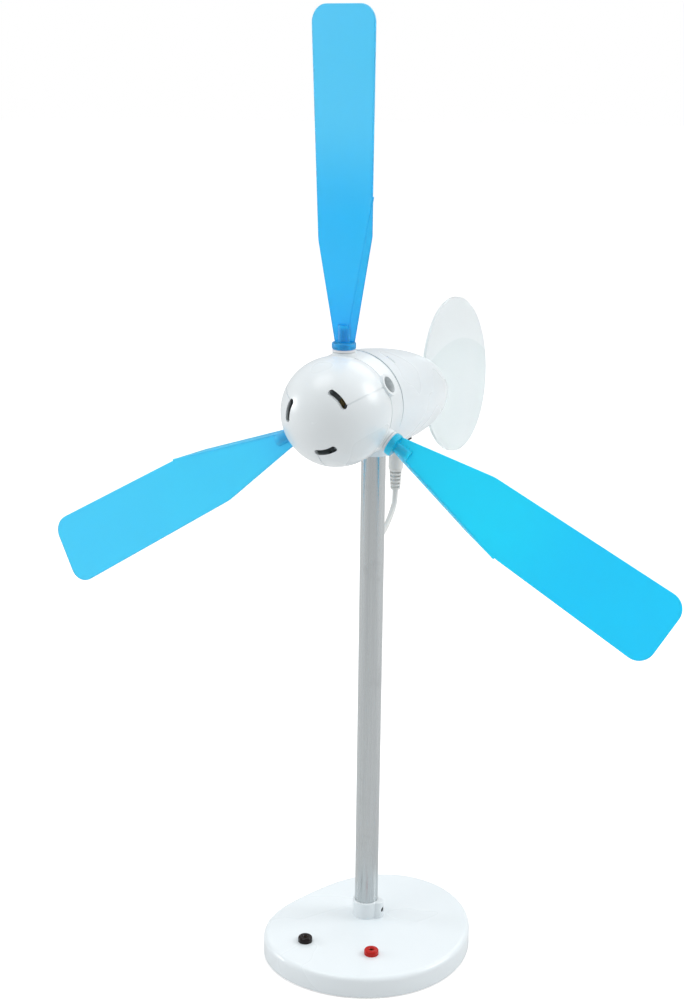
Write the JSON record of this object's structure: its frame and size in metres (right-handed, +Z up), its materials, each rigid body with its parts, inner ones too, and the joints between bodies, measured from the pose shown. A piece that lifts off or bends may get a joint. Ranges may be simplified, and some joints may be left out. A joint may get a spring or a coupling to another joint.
{
  "type": "model wind turbine",
  "caption": "Desk-top model wind turbine: weighted pebble base with sockets, slim mast, yawing nacelle with a tail vane, and a rotor with pitchable translucent blades.",
  "frame": {"origin": "on the mast's axis, at the underside of the base", "axes": "+Z up the mast, the rotor faces -Y and the tail vane points to +Y"},
  "size_m": [0.3206, 0.2353, 0.4696],
  "materials": {
    "shell_white": "moulded white plastic, satin gloss",
    "hub_white": "moulded white plastic, satin gloss",
    "holder_white": "moulded white nylon",
    "bulkhead_grey": "moulded grey plastic",
    "cover_grey": "moulded plastic, fine texture",
    "foot_pad": "soft foam rubber",
    "ballast_steel": "zinc-plated plate",
    "steel": "bright zinc",
    "black_steel": "black oxide",
    "socket_black": "gloss moulded insulator",
    "socket_red": "gloss moulded insulator",
    "brass": "bright brass",
    "copper": "turned copper",
    "mast_aluminium": "satin anodised tube",
    "lead_white": "flexible vinyl",
    "wire_red": "vinyl insulation",
    "bush_nylon": "natural nylon",
    "can_steel": "drawn steel can",
    "magnet": "dark sintered metal",
    "cap_black": "moulded black plastic",
    "vane_frosted": "frosted clear sheet",
    "blade_blue": "translucent blue moulding"
  },
  "bodies": {
    "stand": {"base_shell": "shell_white", "base_cover": "cover_grey", "base_pad": "foot_pad", "ballast_plate": "ballast_steel", "base_screws": "steel", "mast_set_screw": "black_steel", "socket_black": "socket_black", "socket_red": "socket_red", "socket_contacts": "brass", "socket_nuts": "steel", "mast_tube": "mast_aluminium", "mast_grommet": "lead_white", "mast_cable": "lead_white", "base_wires": "wire_red", "generator_lead": "lead_white"},
    "nacelle": {"nacelle_right": "shell_white", "nacelle_left": "shell_white", "nacelle_bulkhead": "bulkhead_grey", "nacelle_screws": "steel", "yaw_bush": "bush_nylon", "generator_can": "can_steel", "generator_magnets": "magnet", "generator_bearing": "brass", "generator_end_cap": "cap_black", "generator_terminals": "brass", "generator_wires": "wire_red", "generator_screws": "steel", "power_jack": "cap_black", "jack_screw": "black_steel", "lead_plug": "lead_white", "plug_tip": "steel", "tail_vane": "vane_frosted"},
    "rotor": {"generator_shaft": "steel", "armature_core": "magnet", "commutator": "copper", "hub_insert": "brass", "hub_back": "hub_white", "hub_front": "hub_white", "hub_screws": "steel"},
    "blade_top": {"blade_top": "blade_blue", "blade_holder_top": "holder_white"},
    "blade_right": {"blade_right": "blade_blue", "blade_holder_right": "holder_white"},
    "blade_left": {"blade_left": "blade_blue", "blade_holder_left": "holder_white"}
  },
  "joints": [
    {"name": "nacelle_yaw", "type": "hinge", "parent": "stand", "child": "nacelle", "pos_m": [0, 0, 0.27], "axis": [0, 0, 1], "range_deg": [-60, 60], "deforming": ["generator_lead"]},
    {"name": "rotor_spin", "type": "hinge", "parent": "nacelle", "child": "rotor", "pos_m": [0, -0.0375, 0.291], "axis": [0, -1, 0], "continuous": true},
    {"name": "blade_pitch_top", "type": "hinge", "parent": "rotor", "child": "blade_top", "pos_m": [0, -0.0375, 0.291], "axis": [0, 0, 1], "range_deg": [-34, 56]},
    {"name": "blade_pitch_right", "type": "hinge", "parent": "rotor", "child": "blade_right", "pos_m": [0, -0.0375, 0.291], "axis": [0.866, 0, -0.5], "range_deg": [-36, 54]},
    {"name": "blade_pitch_left", "type": "hinge", "parent": "rotor", "child": "blade_left", "pos_m": [0, -0.0375, 0.291], "axis": [-0.866, 0, -0.5], "range_deg": [-11, 79]}
  ]
}
